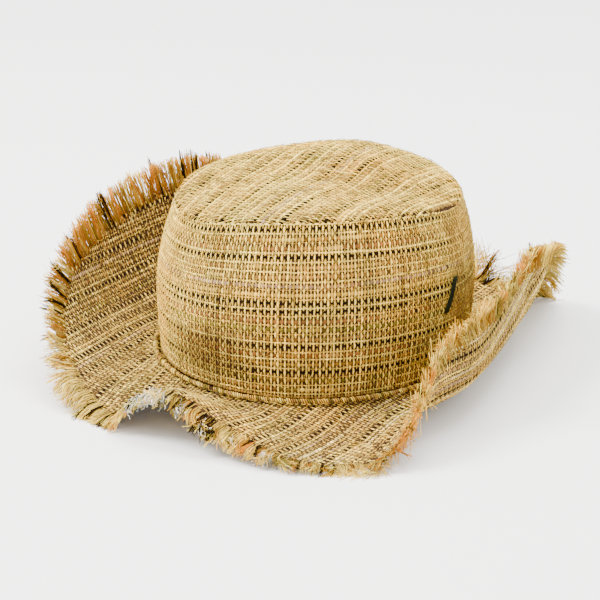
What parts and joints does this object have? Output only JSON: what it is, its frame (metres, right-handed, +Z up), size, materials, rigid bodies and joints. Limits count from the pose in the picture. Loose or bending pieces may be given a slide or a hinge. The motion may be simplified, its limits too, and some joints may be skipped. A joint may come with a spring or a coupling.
{
  "type": "straw sun hat",
  "caption": "Soft straw-cloth hat with a flat-topped crown, a brim rolled up at both sides and a frayed edge.",
  "frame": {"origin": "on the table under the middle of the hat's outline", "axes": "+Z up, -Y towards the front of the brim, X from side to side with the steep rolled side at +X"},
  "size_m": [0.2654, 0.367, 0.1191],
  "materials": {
    "crown_tip": "coarse plain weave of pale straw yarns, matte",
    "crown_side": "coarse plain weave of straw, ochre and black yarns, matte",
    "base_roll": "rolled straw cloth, matte",
    "brim": "coarse plain weave of straw, ochre and black yarns, matte",
    "brim_fringe": "loose yarn ends, matte",
    "seam_thread": "flat dark yarn, matte"
  },
  "bodies": {
    "root": {"crown_tip": "crown_tip", "crown_side": "crown_side", "base_roll": "base_roll", "brim": "brim", "brim_fringe": "brim_fringe", "seam_thread": "seam_thread"}
  },
  "joints": []
}
